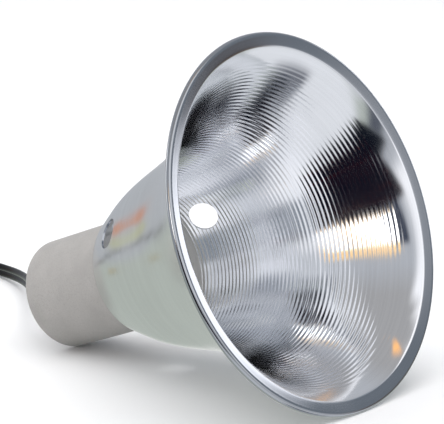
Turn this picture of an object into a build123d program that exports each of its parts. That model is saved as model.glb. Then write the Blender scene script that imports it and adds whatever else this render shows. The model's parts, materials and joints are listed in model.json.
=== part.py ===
"""Small spun-aluminium heat lamp fixture lying on its side, in millimetres.

The lamp is a body of revolution about one axis. It rests on its rolled rim and on the back edge of its
socket cover, so the axis is tilted: the mouth looks along +X and a little up. +Z is up, and the origin
is on the table under the middle of the fixture's bounding box, the loose cord left out.
Stations along the lamp axis are measured back from the plane of the rim. On a plane across the axis,
local X runs up the tilted face and local Y along +Y.
"""
from build123d import *
from math import asin, atan2, cos, hypot, pi, radians, sin, tan
import os

os.makedirs("parts", exist_ok=True)

# ---- reflector ------------------------------------------------------------------------------------
rim_radius = 70.0                 # outside of the rolled rim
rim_face_inner_radius = 64.85
rim_depth, rim_round = 2.7, 1.3
sheet = 0.8
# The inner wall, as station and radius: it closes in from the lip, runs straighter at the waist, then draws in.
wall_outline = ((5.0, 60.7), (14.0, 54.45), (28.0, 46.1), (45.0, 38.7), (60.0, 34.55), (74.0, 30.0))
lip_slope, neck_slope = 43.0, 25.5                           # degrees from the lamp axis
neck_wall, flange_front, shoulder_inner_radius = 23.45, 89.4316, 3.0
vent_radius, vent_station, vent_count = 5.75, 73.0, 3
vent_first_angle = -58.2          # degrees about the axis, from the top of the dome
vent_wall, vent_slope = 30.35, radians(21.3)

# ---- socket cover ---------------------------------------------------------------------------------
cover_radius, cover_length, cover_edge_round = 21.45, 41.1, 1.75
cover_wall, cover_back_wall = 1.8, 2.2
post_radius, post_offset, post_hole_depth = 3.4, 9.8, 9.5

# ---- lampholder -----------------------------------------------------------------------------------
skirt_radius, skirt_length, mouth_chamfer = 16.8, 12.4, 0.8
holder_radius, holder_length = 18.9, 21.6
cavity_radius, cavity_depth = 14.0, 26.5
shell_radius, shell_root_radius, shell_sheet = 13.3, 12.9, 0.45      # E26 screw shell, inside
shell_setback, thread_length = 1.2, 19.5
ring_radius, ring_length, ring_notch_count, ring_notch_radius = 19.5, 6.0, 12, 1.4

# ---- contacts and fasteners -----------------------------------------------------------------------
strip, plate = 0.5, 0.8           # contact strip, and the heavier terminal plates
rivet_radius, rivet_head_radius, rivet_head = 1.1, 2.0, 0.5
contact_rivet_x, shell_rivet_x, shell_rivet_y = 7.5, -7.8, 5.4
shell_floor_edge = -4.5
foot_near, foot_far, foot_width = 5.0, 12.2, 7.0
tongue_root, tongue_reach, tongue_width, tongue_angle, tongue_gap = 11.6, 14.6, 5.0, 17.0, 0.3
pip_radius, pip_height = 1.8, 0.5
hot_plate_width, neutral_plate_width, plate_near, plate_far = 8.0, 14.4, 5.2, 17.0
terminal_x, terminal_screw_radius, terminal_screw_grip, terminal_head_radius = 13.6, 1.7, 5.0, 3.2
mounting_screw_radius, mounting_screw_bite, mounting_head_radius = 1.6, 9.0, 2.8
screw_head, slot_width, slot_depth = 2.2, 0.8, 0.9
counterbore_radius, counterbore_depth = 3.0, 2.5
eyelet_radius, barrel_radius, barrel_height = 3.6, 1.7, 3.4
barrel_near, barrel_far, barrel_neck = 4.6, 10.3, 0.7

# ---- cord -----------------------------------------------------------------------------------------
cord_radius = 2.9                 # SPT-2 flat twin flex is 5.8 mm wide
lead_radius, lead_spacing, lead_bend = 1.45, 1.6, 2.2
knot_radius, knot_length, knot_offset, knot_round = 5.8, 8.5, 7.0, 2.2
relief_flange_radius, relief_neck_radius, relief_flange = 5.8, 4.6, 1.2
relief_sections = ((0, 5.2), (5, 4.9), (12, 4.4), (20, 3.8))      # distance out along the cord, radius
coil_centre, coil_exit_angle = Vector(-211.1, 26.0, 0), 225.0
turn_inner, turn_outer, coil_height, coil_round = 27.7, 38.6, 11.6, 2.0
plug_length, plug_width, plug_thickness, plug_round = 27.0, 24.0, 13.0, 3.0
boot_length, boot_round = 20.0, 2.5
boot_tip_width, boot_tip_height, boot_foot_width, boot_foot_height = 7.6, 6.2, 11.0, 8.6
blade_spacing, blade_length, blade_seat, blade_thickness = 12.7, 17.0, 6.0, 1.5
line_blade_width, neutral_blade_width, blade_hole_radius = 6.35, 7.94, 1.6
blade_hole_reach = 12.0

# ---- stations along the lamp axis -----------------------------------------------------------------
neck_end = flange_front - shoulder_inner_radius * (1 - sin(radians(neck_slope)))
seat = flange_front + sheet       # the cover and the lampholder both bear here
cover_back = seat + cover_length
cover_floor = cover_back - cover_back_wall
holder_mouth = seat - skirt_length
holder_floor = holder_mouth + cavity_depth
holder_back = seat + holder_length
knot_front = holder_back + knot_offset
knot_back = knot_front + knot_length

# ---- how it lies: one tangent under the rim's round and the cover's edge round ---------------------
run = (cover_back - cover_edge_round) - rim_round
drop = (rim_radius - rim_round) - (cover_radius - cover_edge_round)
tilt = atan2(drop, run) - asin((cover_edge_round - rim_round) / hypot(run, drop))
rim_height = rim_round + rim_round * sin(tilt) + (rim_radius - rim_round) * cos(tilt)
front_reach = rim_round - rim_round * cos(tilt) + (rim_radius - rim_round) * sin(tilt)
back_reach = (cover_edge_round + (cover_back - cover_edge_round) * cos(tilt)
              + (cover_radius - cover_edge_round) * sin(tilt))
rim_centre = Vector((back_reach - front_reach) / 2, 0, rim_height)
backward = Vector(-cos(tilt), 0, -sin(tilt))
profile = Plane(origin=rim_centre, x_dir=backward, z_dir=(0, 1, 0))   # local X station, local Y radius
lamp_axis = Axis(rim_centre, backward)


def on_axis(station):
    return rim_centre + backward * station


def way_at(slope):
    """The direction of the dome's outline where it closes in at this slope."""
    return (cos(radians(slope)), -sin(radians(slope)))


def across(station):
    """The plane across the lamp axis at a station, facing back."""
    return Plane(origin=on_axis(station), x_dir=profile.y_dir, z_dir=backward)


def across_facing(station, side):
    """The same plane for the hot terminal (side 1), or turned half round for the neutral one (-1)."""
    return Plane(origin=on_axis(station), x_dir=profile.y_dir * side, z_dir=backward)


def corner_radii(points):
    """Each corner of a cord's route turns on the largest arc that 0.45 of its shorter run allows."""
    radii = []
    for before, here, after in zip(points, points[1:], points[2:]):
        run_in, run_out = here - before, after - here
        half_turn = radians(run_in.get_angle(run_out)) / 2
        radii.append(0.45 * min(run_in.length, run_out.length) / tan(half_turn))
    print("corner radii", [round(radius, 1) for radius in radii])
    return radii


def finish(piece, name):
    """Name the piece and write its STEP file."""
    piece.part.label = name
    export_step(piece.part, f"parts/{name}.step")


# ==== the dome =====================================================================================
with BuildPart() as reflector:
    with BuildSketch(profile) as dome_section:
        with BuildLine():
            ends = (way_at(lip_slope), way_at(neck_slope))
            inner = Spline((0, rim_face_inner_radius), *wall_outline, (neck_end, neck_wall), tangents=ends)
            outside = [inner @ share + Vector(-(inner % share).Y, (inner % share).X) * sheet
                       for share in (step / 12 for step in range(13))]
            outer = Spline(*outside, tangents=ends)
            for skin, away in ((inner, 0), (outer, sheet)):
                shoulder = JernArc(skin @ 1, skin % 1, shoulder_inner_radius + away, neck_slope - 90)
                Line(shoulder @ 1, (flange_front + away, skirt_radius))
            Line((0, rim_face_inner_radius), outer @ 0)
            Line((flange_front, skirt_radius), (seat, skirt_radius))
        make_face()
        with BuildLine():
            Polyline((0, rim_face_inner_radius), (rim_depth, rim_face_inner_radius),
                     (rim_depth, rim_radius), (0, rim_radius), close=True)
        make_face()
        fillet(dome_section.vertices().sort_by(Axis.Y)[-2:], radius=rim_round)
    revolve(axis=lamp_axis)
    # Each vent is drilled square to the wall.
    for number in range(vent_count):
        angle = radians(vent_first_angle + number * 360 / vent_count)
        outward = profile.y_dir * cos(angle) + Vector(0, 1, 0) * sin(angle)
        vent_centre = on_axis(vent_station) + outward * vent_wall
        vent_way = outward * cos(vent_slope) + backward * sin(vent_slope)
        with BuildSketch(Plane(origin=vent_centre, z_dir=vent_way)):
            Circle(vent_radius)
        extrude(amount=3 * sheet, both=True, mode=Mode.SUBTRACT)
finish(reflector, "reflector")

# ==== the housing behind it ========================================================================
with BuildPart() as socket_cover:
    with BuildSketch(profile) as cup_section:
        with BuildLine():
            Polyline((seat, cover_radius), (cover_back, cover_radius), (cover_back, relief_neck_radius),
                     (cover_floor, relief_neck_radius), (cover_floor, cover_radius - cover_wall),
                     (seat, cover_radius - cover_wall), close=True)
        make_face()
        fillet(cup_section.vertices().sort_by(Axis.Y)[-2:].sort_by(Axis.X)[-1], radius=cover_edge_round)
    revolve(axis=lamp_axis)
    with BuildSketch(across(holder_back)):
        with Locations((0, post_offset), (0, -post_offset)):
            Circle(post_radius)
    extrude(amount=cover_floor - holder_back)
    with BuildSketch(across(holder_back)):
        with Locations((0, post_offset), (0, -post_offset)):
            Circle(mounting_screw_radius)
    extrude(amount=post_hole_depth, mode=Mode.SUBTRACT)
finish(socket_cover, "socket_cover")

# ==== the lampholder ===============================================================================
with BuildPart() as lampholder_body:
    with BuildSketch(profile):
        with BuildLine():
            Polyline((holder_mouth, cavity_radius), (holder_mouth, skirt_radius - mouth_chamfer),
                     (holder_mouth + mouth_chamfer, skirt_radius), (seat, skirt_radius),
                     (seat, holder_radius), (holder_back, holder_radius), (holder_back, 0),
                     (holder_floor, 0), (holder_floor, cavity_radius), close=True)
        make_face()
    revolve(axis=lamp_axis)
    with BuildSketch(across(holder_floor)):
        with Locations((0, post_offset), (0, -post_offset)):
            Circle(counterbore_radius)
    extrude(amount=counterbore_depth, mode=Mode.SUBTRACT)
    with BuildSketch(across(holder_floor)):
        with Locations((0, post_offset), (0, -post_offset)):
            Circle(mounting_screw_radius)
        with Locations((contact_rivet_x, 0), (shell_rivet_x, shell_rivet_y), (shell_rivet_x, -shell_rivet_y)):
            Circle(rivet_radius)
    extrude(amount=holder_back - holder_floor, mode=Mode.SUBTRACT)
    with BuildSketch(across(holder_back)):
        with Locations((terminal_x, 0), (-terminal_x, 0)):
            Circle(terminal_screw_radius)
    extrude(amount=-terminal_screw_grip, mode=Mode.SUBTRACT)
finish(lampholder_body, "lampholder_body")

with BuildPart() as screw_shell:
    shell_front = holder_mouth + shell_setback
    thread_end = shell_front + thread_length
    with BuildSketch(profile):
        with BuildLine():
            Polyline((shell_front, shell_radius), (thread_end, shell_radius), (thread_end, shell_root_radius),
                     (holder_floor, shell_root_radius), (holder_floor, shell_root_radius + shell_sheet),
                     (thread_end + shell_sheet, shell_root_radius + shell_sheet),
                     (thread_end + shell_sheet, shell_radius + shell_sheet),
                     (shell_front, shell_radius + shell_sheet), close=True)
        make_face()
    revolve(axis=lamp_axis)
    with BuildSketch(across(holder_floor - strip)):
        Circle(shell_root_radius + shell_sheet)
        with Locations((shell_floor_edge, 0)):
            Rectangle(2 * holder_radius, 2 * holder_radius, align=(Align.MIN, Align.CENTER),
                      mode=Mode.SUBTRACT)
        with Locations((shell_rivet_x, shell_rivet_y), (shell_rivet_x, -shell_rivet_y)):
            Circle(rivet_radius, mode=Mode.SUBTRACT)
    extrude(amount=strip)
finish(screw_shell, "screw_shell")

with BuildPart() as shade_ring:
    with BuildSketch(across(flange_front - ring_length)):
        Circle(ring_radius)
        Circle(skirt_radius, mode=Mode.SUBTRACT)
        with PolarLocations(ring_radius + ring_notch_radius / 2, ring_notch_count):
            Circle(ring_notch_radius, mode=Mode.SUBTRACT)
    extrude(amount=ring_length)
finish(shade_ring, "shade_ring")

# ==== contacts =====================================================================================
with BuildPart() as contact_foot:
    with BuildSketch(across(holder_floor - strip)):
        with Locations((foot_near, 0)):
            Rectangle(foot_far - foot_near, foot_width, align=(Align.MIN, Align.CENTER))
        with Locations((contact_rivet_x, 0)):
            Circle(rivet_radius, mode=Mode.SUBTRACT)
    extrude(amount=strip)
finish(contact_foot, "contact_foot")

# The tongue rises from its bend beside the shell, over the rivet, to a pip on the lamp axis.
tongue_lean = radians(tongue_angle)
with BuildPart() as centre_contact:
    tongue_plane = Plane(
        origin=on_axis(holder_floor - strip - tongue_gap) + profile.y_dir * tongue_root,
        x_dir=backward * -sin(tongue_lean) - profile.y_dir * cos(tongue_lean),
        z_dir=backward * -cos(tongue_lean) + profile.y_dir * sin(tongue_lean))
    with BuildSketch(tongue_plane):
        Rectangle(tongue_reach, tongue_width, align=(Align.MIN, Align.CENTER))
    extrude(amount=strip)
    with BuildSketch(tongue_plane.offset(strip)):
        with Locations((tongue_root / cos(tongue_lean), 0)):
            Circle(pip_radius)
    extrude(amount=pip_height, taper=25)
finish(centre_contact, "centre_contact")


def terminal_plate(side, width, rivet_holes):
    """A brass plate on the lampholder's back, its screw hole outermost."""
    with BuildPart() as made:
        with BuildSketch(across_facing(holder_back, side)):
            with Locations(((plate_near + plate_far) / 2, 0)):
                RectangleRounded(plate_far - plate_near, width, plate)
            with Locations((terminal_x, 0)):
                Circle(terminal_screw_radius, mode=Mode.SUBTRACT)
            with Locations(*rivet_holes):
                Circle(rivet_radius, mode=Mode.SUBTRACT)
        extrude(amount=plate)
    return made


def rivets(places):
    """Rivets from the cavity's floor through to a terminal plate, with a head at each end."""
    shank_front, shank_back = holder_floor - strip, holder_back + plate
    with BuildPart() as made:
        for station, radius, length in ((shank_front - rivet_head, rivet_head_radius, rivet_head),
                                        (shank_front, rivet_radius, shank_back - shank_front),
                                        (shank_back, rivet_head_radius, rivet_head)):
            with BuildSketch(across(station)):
                with Locations(*places):
                    Circle(radius)
            extrude(amount=length)
    return made


def terminal_screw(side):
    """A slotted pan-head screw that holds a ring terminal down on its plate."""
    head_seat = holder_back + 2 * plate
    with BuildPart() as made:
        for station, radius, length in ((holder_back - terminal_screw_grip, terminal_screw_radius,
                                         terminal_screw_grip + 2 * plate),
                                        (head_seat, terminal_head_radius, screw_head)):
            with BuildSketch(across_facing(station, side)):
                with Locations((terminal_x, 0)):
                    Circle(radius)
            extrude(amount=length)
        with BuildSketch(across_facing(head_seat + screw_head, side)):
            with Locations((terminal_x, 0)):
                Rectangle(slot_width, 2 * terminal_head_radius)
        extrude(amount=-slot_depth, mode=Mode.SUBTRACT)
    return made


def ring_terminal(side):
    """A crimped ring terminal: an eyelet under the screw, a short neck, and a barrel towards the axis."""
    with BuildPart() as made:
        with BuildSketch(across_facing(holder_back + plate, side)):
            with Locations((terminal_x, 0)):
                Circle(eyelet_radius)
            with Locations((barrel_far - barrel_neck, 0)):
                Rectangle(terminal_x - barrel_far + barrel_neck, 2 * barrel_radius,
                          align=(Align.MIN, Align.CENTER))
            with Locations((terminal_x, 0)):
                Circle(terminal_screw_radius, mode=Mode.SUBTRACT)
        extrude(amount=plate)
        with BuildSketch(across_facing(holder_back + plate, side)):
            with Locations((barrel_far, 0)):
                Rectangle(barrel_neck, 2 * barrel_radius, align=(Align.MAX, Align.CENTER))
        extrude(amount=barrel_height - plate)
        inward_end = on_axis(holder_back + barrel_height) + profile.y_dir * (side * barrel_near)
        with BuildSketch(Plane(origin=inward_end, z_dir=profile.y_dir * side)):
            Circle(barrel_radius)
        extrude(amount=barrel_far - barrel_near)
    return made


def lead(side):
    """One insulated core of the split cord, from the knot round to its terminal's barrel."""
    barrel_level = on_axis(holder_back + barrel_height)
    route = [barrel_level + profile.y_dir * (side * barrel_near),
             barrel_level + profile.y_dir * (side * lead_spacing),
             on_axis(knot_front) + profile.y_dir * (side * lead_spacing)]
    with BuildPart() as made:
        with BuildLine():
            FilletPolyline(*route, radius=lead_bend)
        with BuildSketch(Plane(origin=route[0], z_dir=route[1] - route[0])):
            Circle(lead_radius)
        sweep()
    return made


shell_rivet_holes = [(-shell_rivet_x, shell_rivet_y), (-shell_rivet_x, -shell_rivet_y)]
finish(terminal_plate(1, hot_plate_width, [(contact_rivet_x, 0)]), "hot_terminal_plate")
finish(terminal_plate(-1, neutral_plate_width, shell_rivet_holes), "neutral_terminal_plate")
finish(rivets([(contact_rivet_x, 0)]), "contact_rivet")
finish(rivets([(shell_rivet_x, shell_rivet_y), (shell_rivet_x, -shell_rivet_y)]), "shell_rivets")
for side, pole in ((1, "hot"), (-1, "neutral")):
    finish(terminal_screw(side), f"{pole}_terminal_screw")
    finish(ring_terminal(side), f"{pole}_ring_terminal")
    finish(lead(side), f"{pole}_lead")

# The two long screws lie in counterbores in the cavity's floor and bite into the cover's posts.
with BuildPart() as mounting_screws:
    bearing = holder_floor + counterbore_depth
    screw_tip = holder_back + mounting_screw_bite
    for station, radius, length in ((bearing - screw_head, mounting_head_radius, screw_head),
                                    (bearing, mounting_screw_radius, screw_tip - bearing)):
        with BuildSketch(across(station)):
            with Locations((0, post_offset), (0, -post_offset)):
                Circle(radius)
        extrude(amount=length)
    with BuildSketch(across(bearing - screw_head)):
        with Locations((0, post_offset), (0, -post_offset)):
            Rectangle(2 * mounting_head_radius, slot_width)
    extrude(amount=slot_depth, mode=Mode.SUBTRACT)
finish(mounting_screws, "mounting_screws")

# ==== the cord =====================================================================================
with BuildPart() as cord_knot:
    with BuildSketch(across(knot_front)):
        Circle(knot_radius)
    extrude(amount=knot_length)
    fillet(cord_knot.edges().filter_by(GeomType.CIRCLE), radius=knot_round)
finish(cord_knot, "cord_knot")


def cord_tube(route):
    """A plain round tube along straight runs joined by tangent arcs, and its centreline."""
    with BuildPart() as made:
        with BuildLine():
            centreline = FilletPolyline(*route, radius=corner_radii(route))
        with BuildSketch(Plane(origin=route[0], z_dir=route[1] - route[0])):
            Circle(cord_radius)
        sweep()
    section_times_length = pi * cord_radius ** 2 * centreline.length
    print("tube volume", round(made.part.volume), "against", round(section_times_length))
    return made, centreline


# It leaves along the lamp axis, sinks to the table and swings wide before it comes round to the coil.
cord_route = [on_axis(knot_back), on_axis(knot_back + 16), Vector(-97.1, 8, 11.5), Vector(-113.1, 24, 9.3),
              Vector(-139.1, 45.5, 6.3), Vector(-169.1, 60, 3.1), Vector(-197.1, 64.4, 2.9)]
power_cord, cord_line = cord_tube(cord_route)
finish(power_cord, "power_cord")

# The strain relief grips the back wall with a groove and follows the cord round its first bend.
with BuildPart() as cord_relief:
    with BuildSketch(profile):
        with BuildLine():
            Polyline((cover_floor - relief_flange, 0), (cover_floor - relief_flange, relief_flange_radius),
                     (cover_floor, relief_flange_radius), (cover_floor, relief_neck_radius),
                     (cover_back, relief_neck_radius), (cover_back, relief_flange_radius),
                     (cover_back + relief_flange, relief_flange_radius), (cover_back + relief_flange, 0),
                     close=True)
        make_face()
    revolve(axis=lamp_axis)
    for reach, radius in relief_sections:
        along = (cover_back - knot_back + reach) / cord_line.length
        with BuildSketch(Plane(origin=cord_line @ along, z_dir=cord_line % along)):
            Circle(radius)
    loft()
    add(power_cord.part, mode=Mode.SUBTRACT)
finish(cord_relief, "cord_relief")

with BuildPart() as cord_coil:
    with BuildSketch(Plane(origin=coil_centre)):
        Circle(turn_outer + lead_radius)
        Circle(turn_inner - lead_radius, mode=Mode.SUBTRACT)
    extrude(amount=coil_height)
    fillet(cord_coil.edges().filter_by(GeomType.CIRCLE), radius=coil_round)
finish(cord_coil, "cord_coil")

tail_start = coil_centre + Vector(turn_outer, 0, 0.75 * coil_height).rotate(Axis.Z, coil_exit_angle)
tail_route = [tail_start, Vector(-225.7, -14, 7.4), Vector(-208.6, -24.5, 6.5), Vector(-190.6, -29.5, 6.5)]
cord_tail, _ = cord_tube(tail_route)
finish(cord_tail, "cord_tail")

# ==== the plug, lying flat, its blades on edge =====================================================
plug_start = tail_route[-1]
plug_way = (plug_start - tail_route[-2]).project_to_plane(Plane.XY).normalized()
plug_side = Vector(-plug_way.Y, plug_way.X, 0)
plug_face = plug_start + plug_way * (boot_length + plug_length)


def blade(sideways, width):
    """One flat blade, seated in the plug, with a clipped tip and a hole."""
    blade_plane = Plane(origin=plug_face + plug_side * sideways, x_dir=plug_way, z_dir=-plug_side)
    with BuildPart() as made:
        with BuildSketch(blade_plane) as flat:
            with Locations((-blade_seat, 0)):
                Rectangle(blade_seat + blade_length, width, align=(Align.MIN, Align.CENTER))
            chamfer(flat.vertices().sort_by(Axis.X)[-2:], length=blade_thickness)
            with Locations((blade_hole_reach, 0)):
                Circle(blade_hole_radius, mode=Mode.SUBTRACT)
        extrude(amount=blade_thickness / 2, both=True)
    return made


finish(blade(blade_spacing / 2, line_blade_width), "line_blade")
finish(blade(-blade_spacing / 2, neutral_blade_width), "neutral_blade")

with BuildPart() as plug_body:
    boot_end = plug_start + plug_way * boot_length
    with BuildSketch(Plane(origin=plug_start, x_dir=plug_side, z_dir=plug_way)):
        RectangleRounded(boot_tip_width, boot_tip_height, boot_round)
    with BuildSketch(Plane(origin=boot_end, x_dir=plug_side, z_dir=plug_way)):
        RectangleRounded(boot_foot_width, boot_foot_height, boot_round)
    loft()
    with BuildSketch(Plane(origin=boot_end, x_dir=plug_side, z_dir=plug_way)):
        RectangleRounded(plug_width, plug_thickness, plug_round)
    extrude(amount=plug_length)
    with BuildSketch(Plane(origin=plug_face, x_dir=plug_side, z_dir=plug_way)):
        with Locations((blade_spacing / 2, 0)):
            Rectangle(blade_thickness, line_blade_width)
        with Locations((-blade_spacing / 2, 0)):
            Rectangle(blade_thickness, neutral_blade_width)
    extrude(amount=-blade_seat, mode=Mode.SUBTRACT)
finish(plug_body, "plug_body")
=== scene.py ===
"""The looks of a small spun-aluminium heat lamp fixture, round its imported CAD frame.

Sizes are in millimetres until a mesh is made. Pieces on the lamp axis are drawn in lamp coordinates:
the station back from the plane of the rim, the height up the tilted face, and the way along +Y.
"""

import json
from math import atan, cos, pi, radians, sin, tan

import bmesh
import bpy
import numpy as np
from mathutils import Matrix, Vector


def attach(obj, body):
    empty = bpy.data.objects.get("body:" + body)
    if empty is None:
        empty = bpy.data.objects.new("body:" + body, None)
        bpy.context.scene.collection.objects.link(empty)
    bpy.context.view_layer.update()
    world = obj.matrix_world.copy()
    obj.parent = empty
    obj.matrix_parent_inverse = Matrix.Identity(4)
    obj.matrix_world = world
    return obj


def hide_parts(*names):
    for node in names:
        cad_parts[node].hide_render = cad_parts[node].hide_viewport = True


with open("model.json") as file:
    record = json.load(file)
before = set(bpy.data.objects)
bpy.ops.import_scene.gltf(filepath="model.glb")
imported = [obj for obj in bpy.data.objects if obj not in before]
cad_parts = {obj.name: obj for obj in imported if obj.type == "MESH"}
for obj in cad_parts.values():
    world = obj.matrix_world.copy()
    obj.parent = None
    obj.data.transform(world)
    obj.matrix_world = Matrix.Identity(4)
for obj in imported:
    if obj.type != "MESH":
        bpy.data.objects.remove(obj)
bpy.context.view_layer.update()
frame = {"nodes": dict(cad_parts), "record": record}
MM = 0.001
SHARP = radians(32)               # edges sharper than this stay sharp

# ---- where the lamp lies ---------------------------------------------------------------------------
mounts = {mount["name"]: mount for mount in frame["record"]["mounts"]}
thread_middle = 88.7816           # station of the lamp_socket mount
opening = Vector(mounts["lamp_socket"]["axis"]).normalized()
backward = -opening
sideways = Vector((0, 1, 0))
rim_centre = Vector(mounts["lamp_socket"]["pos_m"]) / MM + opening * thread_middle
lamp = (Matrix.Translation(rim_centre * MM)
        @ Matrix((backward, sideways.cross(backward), sideways)).transposed().to_4x4()
        @ Matrix.Scale(MM, 4))
row = Matrix.Scale(MM, 4)         # millimetres in the frame of the part


def on_axis(station):
    return rim_centre + backward * station


# ---- camera ----------------------------------------------------------------------------------------
camera = bpy.data.objects.new("camera", bpy.data.cameras.new("camera"))
bpy.context.scene.collection.objects.link(camera)
camera.location = Vector((484.37, -557.03, 215.98)) * MM
aim = Vector((28.44, -19.79, 69.17)) * MM
camera.rotation_euler = (aim - camera.location).to_track_quat("-Z", "Y").to_euler()
camera.data.lens = 164.5
camera.data.clip_start, camera.data.clip_end = 0.01, 60
bpy.context.scene.camera = camera


# ---- material tools --------------------------------------------------------------------------------
class Nodes:
    """Short ways to build a node tree."""

    def __init__(self, tree):
        self.tree = tree

    def node(self, kind, wires=None, **settings):
        made = self.tree.nodes.new("ShaderNode" + kind)
        for name, value in settings.items():
            setattr(made, name, value)
        for socket, value in (wires or {}).items():
            self.plug(made.inputs[socket], value)
        return made

    def plug(self, socket, value):
        if isinstance(value, bpy.types.NodeSocket):
            self.tree.links.new(value, socket)
        else:
            socket.default_value = value

    def maths(self, operation, *values):
        made = self.node("Math", operation=operation)
        for socket, value in zip(made.inputs, values):
            self.plug(socket, value)
        return made.outputs[0]

    def noise(self, vector, scale, detail=2.0, roughness=0.5):
        return self.node("TexNoise", {"Vector": vector, "Scale": scale, "Detail": detail,
                                      "Roughness": roughness}).outputs["Fac"]

    def remap(self, value, low, high, to_low, to_high, shape="LINEAR"):
        return self.node("MapRange", {"Value": value, "From Min": low, "From Max": high, "To Min": to_low,
                                      "To Max": to_high}, interpolation_type=shape).outputs[0]

    def mix(self, factor, first, second):
        made = self.node("Mix", data_type="RGBA")
        self.plug(made.inputs["Factor"], factor)
        self.plug(made.inputs[6], first if isinstance(first, bpy.types.NodeSocket) else (*first, 1))
        self.plug(made.inputs[7], second if isinstance(second, bpy.types.NodeSocket) else (*second, 1))
        return made.outputs[2]


class Finish(Nodes):
    """A Principled material."""

    def __init__(self, name, colour, roughness, **constants):
        self.material = bpy.data.materials.new(name)
        self.material.use_nodes = True
        super().__init__(self.material.node_tree)
        self.shader = self.tree.nodes["Principled BSDF"]
        self.shader.inputs["Base Color"].default_value = (*colour, 1)
        self.shader.inputs["Roughness"].default_value = roughness
        self.material.diffuse_color = (*colour, 1)
        for socket, value in constants.items():
            self.shader.inputs[socket.replace("_", " ")].default_value = value

    def place(self):
        """Millimetres in the frame of the part."""
        where = self.node("TexCoord").outputs["Object"]
        scaled = self.node("VectorMath", {0: where, 1: (1 / MM,) * 3}, operation="MULTIPLY")
        return scaled.outputs[0]

    def round_the_axis(self):
        """Station, radius and angle about the lamp axis, each a socket."""
        where = self.node("TexCoord").outputs["Object"]
        turned = self.node("Mapping", {"Vector": where, "Location": lamp.to_translation(),
                                       "Rotation": lamp.to_euler(), "Scale": (MM,) * 3},
                           vector_type="TEXTURE")
        split = self.node("SeparateXYZ", {0: turned.outputs[0]})
        station, up, side = split.outputs
        radius = self.maths("SQRT", self.maths("ADD", self.maths("MULTIPLY", up, up),
                                               self.maths("MULTIPLY", side, side)))
        return station, radius, self.maths("ARCTAN2", side, up)

    def bump(self, height, distance, strength=1.0):
        """A bump whose height is in units of distance, in millimetres."""
        made = self.node("Bump", {"Height": height, "Distance": distance * MM, "Strength": strength})
        old = self.shader.inputs["Normal"].links
        if old:
            self.plug(made.inputs["Normal"], old[0].from_socket)
        self.plug(self.shader.inputs["Normal"], made.outputs[0])

    def colour(self, value):
        self.plug(self.shader.inputs["Base Color"], value)

    def roughness(self, value):
        self.plug(self.shader.inputs["Roughness"], value)


def ring_vector(finish, along, round_it=0.6):
    """A texture vector that draws lines round the lamp axis, along of them to the millimetre."""
    station, radius, angle = finish.round_the_axis()
    drawn = finish.node("CombineXYZ", {0: finish.maths("MULTIPLY", station, along),
                                       1: finish.maths("MULTIPLY", radius, along),
                                       2: finish.maths("MULTIPLY", finish.maths("SINE", angle), round_it)})
    return drawn.outputs[0]


def aluminium(name, colour, roughness_low, roughness_high, line_depth):
    """Spun sheet: fine turning lines, a hand's smears and a little dust."""
    made = Finish(name, colour, roughness_low, Metallic=1.0)
    lines = made.noise(ring_vector(made, 1.3), 1.0, 2.0, 0.5)
    smear = made.noise(made.place(), 0.045, 3.0)
    dust = made.noise(made.place(), 1.6, 2.0)
    darker = tuple(channel * 0.95 for channel in colour)
    tone = made.mix(made.remap(lines, 0.35, 0.65, 0, 1), colour, darker)
    made.colour(made.mix(made.remap(smear, 0.4, 0.75, 0, 0.35), tone, tuple(c * 0.9 for c in colour)))
    made.roughness(made.maths("ADD", made.remap(smear, 0.35, 0.7, roughness_low, roughness_high),
                              made.remap(dust, 0.6, 0.8, 0, 0.06)))
    made.bump(lines, line_depth)
    return made.material


def moulded(name, colour, roughness, grain, depth, speck=None, **constants):
    """A moulding: a fine grain, uneven gloss, and specks of another colour where asked."""
    made = Finish(name, colour, roughness, **constants)
    where = made.place()
    cloud = made.noise(where, 0.12, 2.0)
    tone = made.mix(made.remap(cloud, 0.3, 0.7, 0, 1), colour, tuple(c * 0.9 for c in colour))
    if speck:
        dots = made.noise(where, 2.6, 3.0, 0.7)
        tone = made.mix(made.remap(dots, 0.5, 0.68, 0, 1), tone, speck)
        pale = made.noise(where, 3.7, 2.0, 0.6)
        tone = made.mix(made.remap(pale, 0.6, 0.74, 0, 0.6), tone, tuple(min(1, c * 1.3) for c in colour))
    made.colour(tone)
    made.roughness(made.remap(made.noise(where, 0.5, 3.0), 0.3, 0.7, roughness - 0.06, roughness + 0.08))
    made.bump(made.noise(where, grain, 3.0), depth)
    return made.material


def metal(name, colour, roughness, grain=1.2, depth=0.01, tarnish=0.8):
    """A small metal part: rolled or turned grain, and tarnish in patches."""
    made = Finish(name, colour, roughness, Metallic=1.0)
    where = made.place()
    cloud = made.noise(where, 0.35, 4.0, 0.6)
    made.colour(made.mix(made.remap(cloud, 0.4, 0.7, 0, 1), colour, tuple(c * tarnish for c in colour)))
    stretched = made.node("VectorMath", {0: where, 1: (0.2, 1, 1)}, operation="MULTIPLY").outputs[0]
    scratch = made.noise(stretched, grain * 4, 3.0, 0.65)
    made.roughness(made.maths("ADD", made.remap(cloud, 0.3, 0.7, roughness, roughness + 0.12),
                              made.remap(scratch, 0.4, 0.7, 0, 0.08)))
    made.bump(scratch, depth)
    return made.material


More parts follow.
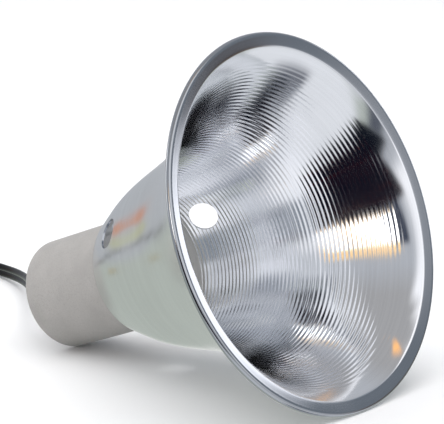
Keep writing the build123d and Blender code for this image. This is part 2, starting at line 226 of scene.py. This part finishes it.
finishes = {
    "inside": aluminium("aluminium_inside", (0.90, 0.91, 0.93), 0.075, 0.13, 0.0012),
    "outside": aluminium("aluminium_outside", (0.86, 0.87, 0.86), 0.17, 0.23, 0.0012),
    # Painted shade: the hem is the same spun sheet as the rest, its colour darkened and blued to stand for the
    # dark surroundings it mirrors.
    "hem": aluminium("aluminium_hem_painted_dark", (0.50, 0.52, 0.55), 0.12, 0.20, 0.0012),
    "grey_moulding": moulded("grey_moulding", (0.400, 0.385, 0.370), 0.62, 3.5, 0.03,
                             speck=(0.30, 0.29, 0.275)),
    "relief_rubber": moulded("relief_rubber", (0.012, 0.012, 0.012), 0.42, 5.0, 0.02),
    "porcelain": moulded("porcelain", (0.80, 0.78, 0.72), 0.16, 1.2, 0.015, speck=(0.70, 0.67, 0.60),
                         Coat_Weight=0.6, Coat_Roughness=0.06),
    "nickel_shell": metal("nickel_shell", (0.66, 0.64, 0.60), 0.18),
    "ring_moulding": moulded("ring_moulding", (0.72, 0.71, 0.68), 0.32, 2.5, 0.015),
    "contact_brass": metal("contact_brass", (0.80, 0.60, 0.27), 0.22, tarnish=0.7),
    "zinc_steel": metal("zinc_steel", (0.60, 0.62, 0.64), 0.28, depth=0.02, tarnish=0.75),
    "tinned_copper": metal("tinned_copper", (0.68, 0.67, 0.64), 0.30),
    "black_flex": moulded("black_flex", (0.0012, 0.0012, 0.0014), 0.18, 1.8, 0.006,
                          Specular_IOR_Level=0.1),
    "black_moulding": moulded("black_moulding", (0.012, 0.012, 0.013), 0.34, 3.0, 0.02),
    "blade_brass": metal("blade_brass", (0.82, 0.64, 0.32), 0.20, depth=0.015, tarnish=0.78),
}


# ---- mesh tools ------------------------------------------------------------------------------------
def add(name, data, body="fixture", replaced=()):
    """Put a finished mesh in the scene, riding on its body."""
    made = bpy.data.objects.new(name, data)
    bpy.context.scene.collection.objects.link(made)
    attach(made, body)
    if replaced:
        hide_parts(*replaced)
    return made


def mesh(name, points, faces, place, materials, indices=None):
    """A closed smooth mesh from points in millimetres and faces, its normals outward."""
    flat = np.asarray(points, float).reshape(-1, 3)
    turn = np.array(place)
    flat = flat @ turn[:3, :3].T + turn[:3, 3]
    data = bpy.data.meshes.new(name)
    data.from_pydata(flat.tolist(), [], [list(face) for face in faces])
    for material in materials:
        data.materials.append(material)
    if indices is not None:
        data.polygons.foreach_set("material_index", indices)
    work = bmesh.new()
    work.from_mesh(data)
    bmesh.ops.recalc_face_normals(work, faces=work.faces)
    for face in work.faces:
        face.smooth = True
    work.to_mesh(data)
    work.free()
    data.set_sharp_from_angle(angle=SHARP)
    return data


def grid_faces(rows, columns, loop_rows=False):
    """Faces of a grid whose columns close on themselves, and whose rows may."""
    last = rows if loop_rows else rows - 1
    here = np.arange(last)[:, None] * columns
    there = (np.arange(1, last + 1) % rows)[:, None] * columns
    across, beside = np.arange(columns)[None], (np.arange(columns)[None] + 1) % columns
    return np.stack([here + across, here + beside, there + beside, there + across], -1).reshape(-1, 4)


def capped_faces(rows, columns):
    """Faces of a tube of closed rings, with a flat cap on each end."""
    caps = [list(range(columns)), list(range((rows - 1) * columns, rows * columns))]
    return grid_faces(rows, columns).tolist() + caps


def turned(profile, segments):
    """Rings of points round the lamp axis, one for each (station, radius)."""
    angle = np.arange(segments) * 2 * pi / segments
    station, radius = (np.asarray(column, float)[:, None] for column in zip(*profile))
    return np.stack([station + 0 * angle, radius * np.cos(angle), radius * np.sin(angle)], -1)


def arc(centre, radius, first, last, steps):
    """Points (station, radius) of an arc, its angles in degrees from the station direction."""
    return [(centre[0] + radius * cos(radians(a)), centre[1] + radius * sin(radians(a)))
            for a in np.linspace(first, last, steps)]


# ---- the cord --------------------------------------------------------------------------------------
knot_back, cover_back = 127.3316, 131.3316
route = [on_axis(knot_back), on_axis(knot_back + 16), Vector((-97.1, 8, 11.5)), Vector((-113.1, 24, 9.3)),
         Vector((-139.1, 45.5, 6.3)), Vector((-169.1, 60, 3.1))]
coil_centre, coil_start, coil_turns, per_turn = Vector((-211.1, 26.0, 0)), radians(90), 7.375, 24
# Turns so far, radius and height: in along the lower layer, a step up at the middle, and out along the upper.
winding = np.array([(0, 38.6, 2.9), (3.5, 28.3, 2.9), (3.62, 27.9, 3.6), (3.88, 27.2, 8.0), (4.0, 26.8, 8.7),
                    (4.75, 30.5, 8.7), (coil_turns, 38.6, 8.7)])
for step in range(int(coil_turns * per_turn) + 1):
    turns = step / per_turn
    radius, height = (float(np.interp(turns, winding[:, 0], winding[:, k])) for k in (1, 2))
    angle = coil_start + turns * 2 * pi
    route.append(coil_centre + Vector((radius * cos(angle), radius * sin(angle), height)))
route += [Vector((-225.7, -14, 7.4)), Vector((-208.6, -24.5, 6.5)), Vector((-190.6, -29.5, 6.5))]

line = bpy.data.curves.new("cord_line", "CURVE")
line.dimensions = "3D"
spline = line.splines.new("NURBS")
spline.points.add(len(route) - 1)
for point, place in zip(spline.points, route):
    point.co = (*(place * MM), 1)
spline.order_u, spline.use_endpoint_u, spline.resolution_u = 3, True, 14
line_object = bpy.data.objects.new("cord_line", line)
bpy.context.scene.collection.objects.link(line_object)
bpy.context.view_layer.update()
line_mesh = bpy.data.meshes.new_from_object(line_object)
centreline = np.array([vertex.co for vertex in line_mesh.vertices]) / MM
bpy.data.objects.remove(line_object)
runs = np.linalg.norm(np.diff(centreline, axis=0), axis=1)
real = runs > 1e-4                # leaves out points that lie on the one before
centreline = centreline[np.concatenate([[True], real])]
reach = np.concatenate([[0], np.cumsum(runs[real])])
cord_length = float(reach[-1])
look_round = 0.4                  # the direction at a place is read this far to each side of it
lies_down_from, lies_down_over = 48, 44    # before the plug


def along_cord(distances):
    """Places, directions and the two ways across at distances along the cord."""
    places = np.stack([np.interp(distances, reach, centreline[:, k]) for k in range(3)], -1)
    ahead = np.stack([np.interp(distances + look_round, reach, centreline[:, k]) for k in range(3)], -1)
    behind = np.stack([np.interp(distances - look_round, reach, centreline[:, k]) for k in range(3)], -1)
    forward = ahead - behind
    forward /= np.linalg.norm(forward, axis=1)[:, None]
    wide = np.array([0, 0, 1.0]) - forward * forward[:, 2:3]
    wide /= np.linalg.norm(wide, axis=1)[:, None]
    thin = np.cross(forward, wide)
    # The flat cord stands on edge, and lies down over the last stretch before the plug.
    turn = np.clip((distances - (cord_length - lies_down_from)) / lies_down_over, 0, 1)
    turn = (turn * turn * (3 - 2 * turn) * pi / 2)[:, None]
    return places, forward, wide * np.cos(turn) + thin * np.sin(turn), thin * np.cos(turn) - wide * np.sin(turn)


core = 1.45                       # half of the cord's thickness: two round cores side by side
lobe = [(core + core * cos(a), core * sin(a)) for a in np.radians(np.linspace(-152, 152, 19))]
cord_outline = np.array(lobe + [(-x, -y) for x, y in lobe])


def swept(distances, sections):
    """Points of sections, each an array of (wide, thin), set along the cord."""
    places, _, wide, thin = along_cord(np.asarray(distances, float))
    return places[:, None] + sections[..., 0:1] * wide[:, None] + sections[..., 1:2] * thin[:, None]


stations = np.linspace(0, cord_length, int(cord_length / 1.6))
rings = swept(stations, np.repeat(cord_outline[None], len(stations), 0))
faces = capped_faces(len(stations), len(cord_outline))
cord = add("mains_cord", mesh("mains_cord", rings, faces, row, [finishes["black_flex"]]),
           replaced=("power_cord", "cord_coil", "cord_tail"))

# The strain relief: a flange each side of the cover's back wall, then a ribbed sleeve that tapers to the cord.
# Distance behind the cover's back, half width, half thickness.
relief_profile = [(-3.4, 2.0, 2.0), (-3.4, 5.4, 5.4), (-3.1, 5.8, 5.8), (-2.5, 5.8, 5.8), (-2.2, 5.4, 5.4),
                  (-2.2, 4.6, 4.6), (0, 4.6, 4.6), (0, 5.4, 5.4), (0.25, 5.75, 5.75), (0.9, 5.75, 5.75),
                  (1.2, 5.3, 5.3)]
for rib in range(6):
    start, shrink = 2.4 + rib * 2.7, rib / 6
    outer = (5.0 - 1.35 * shrink, 5.0 - 2.6 * shrink)
    for offset, less in ((0, 0.55), (0.15, 0.1), (0.45, 0), (1.5, 0), (1.8, 0.1), (1.95, 0.55)):
        relief_profile.append((start + offset, outer[0] - less, outer[1] - less))
relief_profile += [(18.6, 3.35, 2.05), (19.6, 3.2, 1.85), (20, 2.9, 1.45), (20, 2.0, 0.9)]
relief_segments = 48
angle = np.linspace(0, 2 * pi, relief_segments, endpoint=False)
relief_sections = np.array([[(wide * cos(a), thin * sin(a)) for a in angle]
                            for _, wide, thin in relief_profile])
relief_rings = swept([cover_back - knot_back + d for d, _, _ in relief_profile], relief_sections)
faces = capped_faces(len(relief_profile), relief_segments)
relief = add("strain_relief", mesh("strain_relief", relief_rings, faces, row, [finishes["relief_rubber"]]),
             replaced=("cord_relief",))

# ---- the plug --------------------------------------------------------------------------------------
plug_start = route[-1]
plug_way = (route[-1] - route[-2]).normalized()
plug_side = Vector((-plug_way.y, plug_way.x, 0))
plug_turn = Matrix((plug_way, plug_side, Vector((0, 0, 1)))).transposed().to_4x4()
plug_place = row @ Matrix.Translation(plug_start) @ plug_turn


def rounded(half_wide, half_high, corner, steps=6):
    """The outline of a rounded rectangle, counter-clockwise from the right."""
    corner = min(corner, half_wide - 1e-3, half_high - 1e-3)
    points = []
    for quarter, (x, y) in enumerate(((1, 1), (-1, 1), (-1, -1), (1, -1))):
        for a in np.radians(np.linspace(0, 90, steps) + 90 * quarter):
            points.append((x * (half_wide - corner) + corner * cos(a),
                           y * (half_high - corner) + corner * sin(a)))
    return points


# Distance from the cord's end of the boot, half width, half height, corner.
plug_sections = [(0, 3.0, 1.6, 1.2), (0.05, 3.6, 2.7, 2.2), (0.6, 3.85, 3.05, 2.5)]
for rib in range(6):
    start = 1.4 + rib * 2.9
    half = (4.0 + 0.26 * rib, 3.2 + 0.2 * rib)
    for offset, less in ((0, 0.7), (0.2, 0.12), (0.5, 0), (1.6, 0), (1.9, 0.12), (2.1, 0.7)):
        plug_sections.append((start + offset, half[0] - less, half[1] - less, 2.6 - less))
plug_sections += [(19.2, 5.0, 3.7, 2.6), (20.0, 6.4, 4.4, 3.0), (20.6, 8.6, 5.2, 3.4), (21.6, 10.6, 5.9, 3.8),
                  (23.2, 11.6, 6.35, 3.9), (25.5, 11.95, 6.5, 3.9)]
for groove in range(4):
    start = 28.4 + groove * 2.8
    plug_sections += [(start, 11.9, 6.5, 3.8), (start + 0.35, 11.45, 6.5, 3.7), (start + 1.05, 11.45, 6.5, 3.7),
                      (start + 1.4, 11.9, 6.5, 3.8)]
plug_sections += [(41.5, 11.95, 6.5, 3.6), (45.6, 12.0, 6.5, 3.4), (46.5, 11.75, 6.25, 3.2),
                  (46.9, 11.4, 5.9, 3.0), (47.0, 11.0, 5.5, 2.8)]
points = np.array([[(along, w, h) for w, h in rounded(wide, high, corner)]
                   for along, wide, high, corner in plug_sections])
faces = capped_faces(len(points), points.shape[1])
plug = add("plug", mesh("plug", points, faces, plug_place, [finishes["black_moulding"]]),
           replaced=("plug_body",))

cord.visible_glossy = plug.visible_glossy = False      # the coil lies where the dome would mirror it

# ---- the reflector ---------------------------------------------------------------------------------
sheet, mouth_station, mouth_radius = 0.8, 1.0, 64.7
neck_wall, flange_front, shoulder = 23.45, 89.4316, 3.0
neck_degrees = 25.5
lip_slope, neck_slope = radians(47.0), radians(neck_degrees)
neck_end = flange_front - shoulder * (1 - sin(neck_slope))
seat = flange_front + sheet
bore = 16.8
# The inner wall: station and radius, from the rim to the neck.
wall_outline = np.array([(mouth_station, mouth_radius), (5.0, 60.85), (14.0, 54.45), (28.0, 46.1), (45.0, 38.7),
                         (60.0, 34.55), (74.0, 30.0), (neck_end, neck_wall)])


def smooth_slopes(at, value, first, last):
    """The slope at each point of the smoothest curve through them all, its end slopes given."""
    gap, size = np.diff(at), len(at)
    system, right = np.eye(size), np.zeros(size)
    right[0], right[-1] = first, last
    for k in range(1, size - 1):
        before, after = gap[k - 1], gap[k]
        system[k, k - 1:k + 2] = after, 2 * (before + after), before
        right[k] = 3 * (after * (value[k] - value[k - 1]) / before
                        + before * (value[k + 1] - value[k]) / after)
    return np.linalg.solve(system, right)


outline_slopes = smooth_slopes(wall_outline[:, 0], wall_outline[:, 1], -tan(lip_slope), -tan(neck_slope))


def wall(station):
    """The inner wall's radius and slope at a station."""
    k = int(np.searchsorted(wall_outline[:, 0], station, side="right")) - 1
    k = min(max(k, 0), len(wall_outline) - 2)
    (here, radius), (there, next_radius) = wall_outline[k], wall_outline[k + 1]
    slope, next_slope = outline_slopes[k], outline_slopes[k + 1]
    gap = there - here
    share = (station - here) / gap
    curve = np.polynomial.Polynomial([radius, gap * slope,
                                      3 * (next_radius - radius) - gap * (2 * slope + next_slope),
                                      2 * (radius - next_radius) + gap * (slope + next_slope)])
    return float(curve(share)), atan(-float(curve.deriv()(share)) / gap)


def skin_points(stations, side):
    """(station, radius, slope) along one skin of the wall: side 0 the inner, 1 the outer."""
    points = []
    for station in stations:
        radius, slope = wall(station)
        points.append((station + side * sheet * sin(slope), radius + side * sheet * cos(slope), slope))
    return points


def ridged(points, height, pitch, neck_pitch, begin, full, fade, gone):
    """Push points in and out along the wall's normal, ridge by ridge, the ridges finer towards the neck."""
    stations, radii, slopes = np.array(points).T
    arc_run = np.concatenate([[0], np.cumsum(np.hypot(np.diff(stations), np.diff(radii)))])
    share = np.interp(stations, (begin, full, fade, gone), (0, 1, 1, 0))
    local = np.interp(stations, (34, 60), (pitch, neck_pitch))
    ridges = np.concatenate([[0], np.cumsum(np.diff(arc_run) / local[1:])])
    push = height * share * local / pitch * np.sin(ridges * 2 * pi)
    return list(zip(stations + push * np.sin(slopes), radii + push * np.cos(slopes)))


# The skins' stations lie closer together where the ridges are finer.
inner_stations = np.concatenate([np.arange(1.05, 44, 0.29), np.arange(44, neck_end, 0.17)])
outer_stations = np.concatenate([np.arange(1.5, 42, 1.2), np.arange(42, 76, 0.28),
                                 np.arange(76, neck_end, 0.9)])
inner = ridged(skin_points(inner_stations, 0), 0.030, 1.75, 1.5, 5.5, 8.5, neck_end - 8, neck_end - 2)
outer = ridged(skin_points(outer_stations, 1), 0.006, 1.3, 1.3, 44, 56, 64, 74)
shoulder_centre = (neck_end - shoulder * sin(neck_slope), neck_wall - shoulder * cos(neck_slope))
shoulder_end = 90 - neck_degrees
inner_skin = ([(flange_front, bore), (flange_front, shoulder_centre[1] - 1.0)]
              + arc(shoulder_centre, shoulder, 0, shoulder_end, 7) + inner[::-1])
# The hem: a dished face with a round front corner, rolled back on itself with a hollow inside.
rim_face = (arc((1.30, 65.18), 0.45, 223, 196, 5)
            + [(0.76, 65.45), (0.60, 66.1), (0.45, 66.7), (0.30, 67.35), (0.14, 68.0)]
            + arc((1.3, 68.7), 1.3, 188, 95, 9))
roll = arc((1.3, 69.1), 0.9, 90, 0, 7)
roll_back = [(2.2, 68.3), (2.2, 67.2), (2.2, 66.4), (2.19, 65.75), (2.1, 65.6), (1.9, 65.55), (1.7, 65.6),
             (1.6, 65.75), (1.6, 66.4), (1.6, 67.2), (1.6, 68.2)]
hollow = arc((1.35, 68.4), 0.3, 0, 150, 6) + [(0.98, 67.4), (1.14, 66.5), (1.28, 65.75)]
outer_skin = (outer + arc(shoulder_centre, shoulder + sheet, shoulder_end, 0, 7)
              + [(seat, shoulder_centre[1] - 1.0), (seat, bore)])
profile = inner_skin + rim_face + roll + roll_back + hollow + outer_skin
inside_rows, rim_rows = len(inner_skin), len(rim_face) + len(roll)
segments = 168
points = turned(profile, segments)
faces = grid_faces(len(profile), segments, loop_rows=True)
rows = np.repeat(np.arange(len(profile)), segments)
indices = np.where(rows < inside_rows, 0, np.where(rows < inside_rows + rim_rows, 1, 2))
dome_finishes = [finishes["inside"], finishes["hem"], finishes["outside"]]
dome_mesh = mesh("dome", points, faces, lamp, dome_finishes, indices)
reflector = add("dome", dome_mesh, replaced=("reflector",))

# Three vents punched square to the wall.
vent_radius, vent_station, vent_count, vent_first = 5.75, 73.0, 3, radians(-58.2)
cutter_length = 8
cutters = bmesh.new()
for number in range(vent_count):
    angle = vent_first + number * 2 * pi / vent_count
    radius, slope = wall(vent_station)
    outward = Vector((0, cos(angle), sin(angle)))
    way = Vector((sin(slope), cos(slope) * cos(angle), cos(slope) * sin(angle)))
    place = (Matrix.Translation(Vector((vent_station, 0, 0)) + outward * radius)
             @ way.to_track_quat("Z", "Y").to_matrix().to_4x4())
    bmesh.ops.create_cone(cutters, cap_ends=True, segments=56, radius1=vent_radius, radius2=vent_radius,
                          depth=cutter_length, matrix=lamp @ place)
cutter_mesh = bpy.data.meshes.new("vent_cutters")
cutters.to_mesh(cutter_mesh)
cutters.free()
# The vents' cut walls take the hem's finish, and with it its painted shade.
cutter_mesh.materials.append(finishes["hem"])
cutter = bpy.data.objects.new("vent_cutters", cutter_mesh)
bpy.context.scene.collection.objects.link(cutter)
punch = reflector.modifiers.new("vents", "BOOLEAN")
punch.operation, punch.solver, punch.object = "DIFFERENCE", "MANIFOLD", cutter
bpy.context.view_layer.update()
punched = bpy.data.meshes.new_from_object(reflector.evaluated_get(bpy.context.evaluated_depsgraph_get()))
reflector.modifiers.clear()
reflector.data = punched
punched.set_sharp_from_angle(angle=SHARP)
bpy.data.objects.remove(cutter)

# ---- the screw shell, with a rolled thread -----------------------------------------------------------
holder_mouth, holder_floor, pitch = 77.8316, 104.3316, 3.629
shell_front, thread_length, shell_sheet = holder_mouth + 1.2, 19.5, 0.45
steps, columns = 110, 96
angle = np.arange(columns) * 2 * pi / columns
station = np.linspace(shell_front, holder_floor, steps)
share = np.interp(station, (shell_front + 1.5, shell_front + 4, shell_front + thread_length - 3,
                            shell_front + thread_length), (0, 1, 1, 0))
mean = np.interp(station, (shell_front, shell_front + 3, shell_front + thread_length, holder_floor),
                 (13.3, 12.95, 12.9, 12.9))
swell = mean[:, None] + 0.34 * share[:, None] * np.sin(2 * pi * station[:, None] / pitch - angle[None])
layers = [np.stack([station[:, None] + 0 * angle, radius * np.cos(angle), radius * np.sin(angle)], -1)
          for radius in (swell, swell[::-1] + shell_sheet)]
layers[1][:, :, 0] = station[::-1, None]
points = np.concatenate(layers)
faces = grid_faces(2 * steps, columns, loop_rows=True).tolist()
base = len(points.reshape(-1, 3))
# The staked tab across part of its floor.
tab_radius, tab_half_turn, tab_sheet, tab_steps = 13.2, 1.222, 0.5, 24
tab = [(tab_radius * cos(a), tab_radius * sin(a))
       for a in np.linspace(pi - tab_half_turn, pi + tab_half_turn, tab_steps)]
points = np.concatenate([points.reshape(-1, 3), [(holder_floor - tab_sheet, x, y) for x, y in tab],
                         [(holder_floor, x, y) for x, y in tab]])
faces += [[base + k for k in range(tab_steps)], [base + tab_steps + k for k in range(tab_steps)]]
for k in range(tab_steps):
    after = (k + 1) % tab_steps
    faces.append([base + k, base + after, base + tab_steps + after, base + tab_steps + k])
add("screw_shell_thread", mesh("screw_shell_thread", points, faces, lamp, [finishes["nickel_shell"]]),
    replaced=("screw_shell",))

# ---- the knot inside the cover -----------------------------------------------------------------------
# A trefoil: three crossings over two turns.
knot_middle, knot_deep, knot_size, strand, knot_steps, strand_sides = 123.08, 2.7, 1.42, 1.35, 150, 14
t = np.linspace(0, 2 * pi, knot_steps, endpoint=False)
knot_reach = knot_size * (2 + np.cos(3 * t))
knot = np.stack([knot_middle + knot_deep * np.sin(3 * t), knot_reach * np.cos(2 * t),
                 knot_reach * np.sin(2 * t)], -1)
forward = np.roll(knot, -1, 0) - np.roll(knot, 1, 0)
forward /= np.linalg.norm(forward, axis=1)[:, None]
side = np.cross(forward, (1.0, 0, 0))
side /= np.linalg.norm(side, axis=1)[:, None]
other = np.cross(forward, side)
angle = np.linspace(0, 2 * pi, strand_sides, endpoint=False)
points = (knot[:, None] + strand * np.cos(angle)[None, :, None] * side[:, None]
          + strand * np.sin(angle)[None, :, None] * other[:, None])
faces = grid_faces(knot_steps, strand_sides, loop_rows=True)
add("tied_knot", mesh("tied_knot", points, faces, lamp, [finishes["black_flex"]]),
    replaced=("cord_knot",))

# ---- finishes of the CAD nodes that are carried over -------------------------------------------------
carried = {
    "socket_cover": "grey_moulding", "lampholder_body": "porcelain", "shade_ring": "ring_moulding",
    "contact_foot": "contact_brass", "centre_contact": "contact_brass", "contact_rivet": "contact_brass",
    "shell_rivets": "contact_brass", "hot_terminal_plate": "contact_brass",
    "neutral_terminal_plate": "nickel_shell", "hot_terminal_screw": "contact_brass",
    "neutral_terminal_screw": "zinc_steel",
    "hot_ring_terminal": "tinned_copper", "neutral_ring_terminal": "tinned_copper", "hot_lead": "black_flex",
    "neutral_lead": "black_flex", "mounting_screws": "zinc_steel", "line_blade": "blade_brass",
    "neutral_blade": "blade_brass",
}
for name, finish in carried.items():
    node = frame["nodes"][name]
    for slot in node.material_slots:
        slot.material = finishes[finish]

# ---- studio ------------------------------------------------------------------------------------------
scene = bpy.context.scene
scene.view_settings.view_transform = "Standard"
world = bpy.data.worlds.new("studio")
scene.world = world
world.use_nodes = True
sky = Nodes(world.node_tree)
direction = sky.node("TexCoord").outputs["Generated"]
height = sky.node("SeparateXYZ", {0: direction}).outputs[2]
elevation = sky.maths("DEGREES", sky.maths("ARCSINE", height))


def patch(below, azimuth, level, half_width, half_height, soft, colour, blotches=None):
    """A soft-edged rectangle of the room, in degrees: azimuth from +X towards +Y, and level above the horizon.

    Blotches are a noise scale and the colour of the blotches.
    """
    spun = sky.node("VectorRotate", {"Vector": direction, "Angle": radians(-azimuth)}, rotation_type="Z_AXIS")
    x, y, _ = sky.node("SeparateXYZ", {0: spun.outputs[0]}).outputs
    aside = sky.maths("ABSOLUTE", sky.maths("DEGREES", sky.maths("ARCTAN2", y, x)))
    above = sky.maths("ABSOLUTE", sky.maths("SUBTRACT", elevation, level))
    share = sky.maths("MULTIPLY",
                      sky.remap(aside, half_width - soft, half_width + soft, 1, 0, "SMOOTHSTEP"),
                      sky.remap(above, half_height - soft, half_height + soft, 1, 0, "SMOOTHSTEP"))
    if blotches:
        scale, blotch_colour = blotches
        colour = sky.mix(sky.remap(sky.noise(direction, scale, 2.0), 0.56, 0.68, 0, 1), colour, blotch_colour)
    return sky.mix(share, below, colour)


# What stands round the lamp: azimuth, level, half width, half height, softness, colour, blotches.
# A later row covers an earlier one. Places and levels follow what the polished metal is seen to mirror.
room_patches = [
    (25, -16, 36, 13, 5, (0.63, 0.65, 0.69)),              # beyond the table
    (0, -60, 80, 31, 4, (0.80, 0.82, 0.86)),               # the table in front
    (38, -59, 20, 12, 6, (0.17, 0.18, 0.21)),              # a dark cloth on it
    (-10, 35, 32, 32, 6, (1.05, 1.06, 1.10)),              # the softbox in front
    (16, 58, 38, 14, 6, (1.12, 1.12, 1.15)),               # its upper half
    (20, 0, 9, 6, 4, (1.05, 1.05, 1.05)),                  # a pale spot below it
    (-54, 24, 4.5, 14, 2.5, (0.05, 0.06, 0.09)),           # the dark gap beside it
    (60, 22, 24, 24, 6, (0.25, 0.28, 0.32)),               # a grey wall
    (62, -10, 13, 12, 5, (0.10, 0.07, 0.06)),              # its brown foot
    (-39, -20, 11, 12, 2.5, (0.004, 0.006, 0.012)),        # the dark room, its near part
    (-18, -16, 11, 5, 3, (0.09, 0.10, 0.13)),              # and its edge
    (-62, -7, 21, 22, 2.5, (0.003, 0.005, 0.012), (26.0, (0.075, 0.009, 0.007))),    # and its far part
    (-72, 28.5, 11, 13, 2, (1.15, 0.78, 0.40)),            # a lamp's warm edge
    (-69, 26, 9, 8.5, 2, (2.8, 2.8, 2.8)),                 # and the lamp
    (-150, 17, 13, 18, 4, (1.9, 1.9, 1.9)),                # the softbox behind, to one side
    (122, -8, 14, 22, 6, (0.95, 0.95, 0.95)),              # a pale card on the other side
    (184, -2.2, 7, 2.0, 1.5, (0.50, 0.51, 0.32)),          # a yellow strip behind the lamp
    (176, 2.6, 5.5, 2.0, 1.5, (0.66, 0.24, 0.10)),         # an orange one above it
    (188, -6.0, 5.5, 0.6, 0.8, (0.06, 0.06, 0.06)),        # the cord's dark line, in three lengths
    (178.5, -8.6, 5, 0.6, 0.8, (0.08, 0.08, 0.08)),
    (169, -11.2, 6, 0.6, 0.8, (0.14, 0.14, 0.14)),
    (72, 78, 11, 4, 4, (1.25, 0.66, 0.26)),                # a small warm lamp overhead
    (80, 12, 9, 11, 4, (2.2, 2.2, 2.3)),                   # a lamp that shows in the hem
]
room = sky.mix(sky.remap(elevation, -14, -9, 0, 1, "SMOOTHSTEP"), (0.48, 0.52, 0.49), (0.47, 0.49, 0.53))
room = sky.mix(sky.remap(elevation, 48, 66, 0, 1), room, (0.40, 0.40, 0.41))
for settings in room_patches:
    room = patch(room, *settings)
sky.plug(world.node_tree.nodes["Background"].inputs["Color"], room)


def stage_piece(name, data, material):
    """A piece of the set, which isn't part of the object and isn't mirrored in it."""
    data.materials.append(material)
    made = bpy.data.objects.new(name, data)
    scene.collection.objects.link(made)
    made.visible_glossy = False
    return made


floor_half = 6
floor_mesh = bpy.data.meshes.new("floor")
floor_corners = [(x * floor_half, y * floor_half, 0) for x, y in ((-1, -1), (1, -1), (1, 1), (-1, 1))]
floor_mesh.from_pydata(floor_corners, [], [(0, 1, 2, 3)])
stage_piece("floor", floor_mesh, Finish("floor_paint", (0.90, 0.90, 0.90), 0.7).material)

# The backdrop is a white ball that only the camera sees, so that the patches don't show behind the lamp.
white = Finish("backdrop_white", (0, 0, 0), 1.0)
white.plug(white.shader.inputs["Emission Color"], (1, 1, 1, 1))
white.plug(white.shader.inputs["Emission Strength"], 1.0)
ball = bmesh.new()
bmesh.ops.create_icosphere(ball, subdivisions=3, radius=20)
backdrop_mesh = bpy.data.meshes.new("backdrop")
ball.to_mesh(backdrop_mesh)
ball.free()
backdrop = stage_piece("backdrop", backdrop_mesh, white.material)
backdrop.visible_diffuse = backdrop.visible_shadow = backdrop.visible_transmission = False

overhead = bpy.data.lights.new("overhead", "AREA")
overhead.shape, overhead.size, overhead.size_y = "RECTANGLE", 3.6, 3.6
overhead.energy = 70
lit = bpy.data.objects.new("overhead", overhead)
scene.collection.objects.link(lit)
lit.location = (-0.2, -0.3, 2.4)
lit.rotation_euler = (-lit.location).to_track_quat("-Z", "Y").to_euler()
lit.visible_glossy = False
